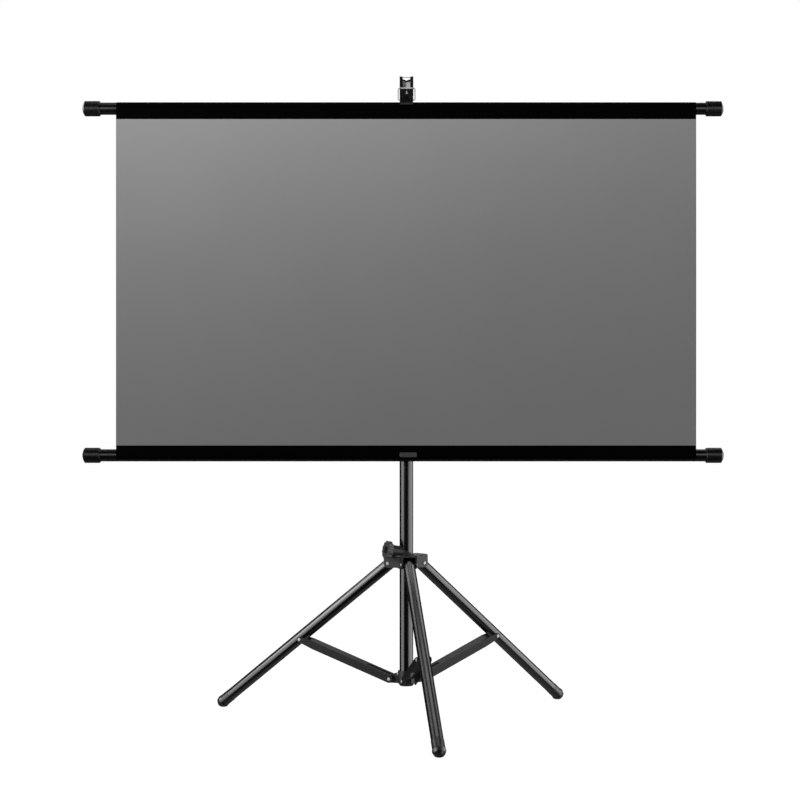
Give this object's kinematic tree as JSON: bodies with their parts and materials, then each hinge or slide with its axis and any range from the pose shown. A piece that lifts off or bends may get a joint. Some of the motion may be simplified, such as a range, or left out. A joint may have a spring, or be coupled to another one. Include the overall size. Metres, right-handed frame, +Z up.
{
  "type": "tripod projection screen",
  "caption": "Portable projection screen: grey cloth between black rods, hung by a wire bail from the hook head of a telescoping mast on a folding tripod.",
  "frame": {"origin": "on the mast's axis at floor level", "axes": "+Z up along the mast, -Y towards the viewer of the picture side, +X to the viewer's right"},
  "size_m": [1.472, 0.8002, 1.491],
  "materials": {
    "screen_grey": "matte",
    "band_black": "matte",
    "rod_black": "satin",
    "cap_black": "satin",
    "mast_black": "semi-gloss",
    "leg_black": "semi-gloss",
    "brace_black": "satin",
    "head_black": "satin",
    "saddle_black": "satin",
    "moulded_black": "matte",
    "knob_black": "satin",
    "foot_rubber": "matte",
    "zinc_steel": "zinc-plated",
    "keeper_zinc": "zinc-plated"
  },
  "bodies": {
    "column": {"lower_tube": "mast_black", "spreader_bracket": "moulded_black", "bracket_rivet": "zinc_steel", "mast_collar": "moulded_black"},
    "mast_knob": {"mast_knob": "knob_black", "mast_knob_stud": "zinc_steel"},
    "upper_mast": {"upper_tube": "mast_black", "guide_bush": "moulded_black", "top_plug": "moulded_black", "hanger_head": "head_black", "hook_keeper": "keeper_zinc", "head_pin": "zinc_steel", "head_bolt": "zinc_steel"},
    "hub": {"hub_body": "moulded_black", "hub_pins": "zinc_steel"},
    "hub_knob": {"hub_knob": "knob_black", "hub_knob_stud": "zinc_steel"},
    "screen": {"top_rod": "rod_black", "bottom_rod": "rod_black", "top_caps": "cap_black", "bottom_caps": "cap_black", "screen_cloth": "screen_grey", "top_hem": "band_black", "bottom_hem": "band_black", "saddle": "saddle_black"},
    "bail": {"bail": "zinc_steel"},
    "leg_front": {"leg_front_tube": "leg_black", "leg_front_ends": "foot_rubber"},
    "brace_front": {"brace_front_channel": "brace_black", "brace_front_rivets": "zinc_steel"},
    "leg_right": {"leg_right_tube": "leg_black", "leg_right_ends": "foot_rubber"},
    "brace_right": {"brace_right_channel": "brace_black", "brace_right_rivets": "zinc_steel"},
    "leg_left": {"leg_left_tube": "leg_black", "leg_left_ends": "foot_rubber"},
    "brace_left": {"brace_left_channel": "brace_black", "brace_left_rivets": "zinc_steel"}
  },
  "joints": [
    {"name": "mast_slide", "type": "slide", "parent": "column", "child": "upper_mast", "axis": [0, 0, 1], "range_m": [-0.19, 0.25]},
    {"name": "mast_knob_turn", "type": "hinge", "parent": "column", "child": "mast_knob", "pos_m": [0, 0, 0.812], "axis": [-0.9063, -0.4226, 0], "range_deg": [0, 360]},
    {"name": "hub_slide", "type": "slide", "parent": "column", "child": "hub", "axis": [0, 0, 1], "range_m": [0, 0.2705]},
    {"name": "hub_knob_turn", "type": "hinge", "parent": "hub", "child": "hub_knob", "pos_m": [0, 0, 0.388], "axis": [-0.8925, -0.4162, 0.1736], "range_deg": [0, 360]},
    {"name": "screen_lift", "type": "slide", "parent": "upper_mast", "child": "screen", "axis": [0, 0, 1], "range_m": [0, 0.004]},
    {"name": "bail_swing", "type": "hinge", "parent": "screen", "child": "bail", "pos_m": [0, -0.082, 1.4349], "axis": [1, 0, 0], "range_deg": [-4, 4]},
    {"name": "leg_front_fold", "type": "hinge", "parent": "hub", "child": "leg_front", "pos_m": [0.00557, -0.03961, 0.364], "axis": [0.9903, 0.1392, 0], "range_deg": [0, 48.8]},
    {"name": "brace_front_fold", "type": "hinge", "parent": "leg_front", "child": "brace_front", "pos_m": [0.03744, -0.26643, 0.17486], "axis": [-0.9903, -0.1392, 0], "range_deg": [0, 116.8]},
    {"name": "leg_right_fold", "type": "hinge", "parent": "hub", "child": "leg_right", "pos_m": [0.03152, 0.02463, 0.364], "axis": [-0.6157, 0.788, 0], "range_deg": [0, 48.8]},
    {"name": "brace_right_fold", "type": "hinge", "parent": "leg_right", "child": "brace_right", "pos_m": [0.21201, 0.16564, 0.17486], "axis": [0.6157, -0.788, 0], "range_deg": [0, 116.8]},
    {"name": "leg_left_fold", "type": "hinge", "parent": "hub", "child": "leg_left", "pos_m": [-0.03709, 0.01498, 0.364], "axis": [-0.3746, -0.9272, 0], "range_deg": [0, 48.8]},
    {"name": "brace_left_fold", "type": "hinge", "parent": "leg_left", "child": "brace_left", "pos_m": [-0.24945, 0.10079, 0.17486], "axis": [0.3746, 0.9272, 0], "range_deg": [0, 116.8]}
  ],
  "couplings": [
    {"joint": "leg_front_fold", "follows": "hub_slide", "rad_per_m": 3.146},
    {"joint": "brace_front_fold", "follows": "hub_slide", "rad_per_m": 7.531},
    {"joint": "leg_right_fold", "follows": "hub_slide", "rad_per_m": 3.146},
    {"joint": "brace_right_fold", "follows": "hub_slide", "rad_per_m": 7.531},
    {"joint": "leg_left_fold", "follows": "hub_slide", "rad_per_m": 3.146},
    {"joint": "brace_left_fold", "follows": "hub_slide", "rad_per_m": 7.531}
  ]
}
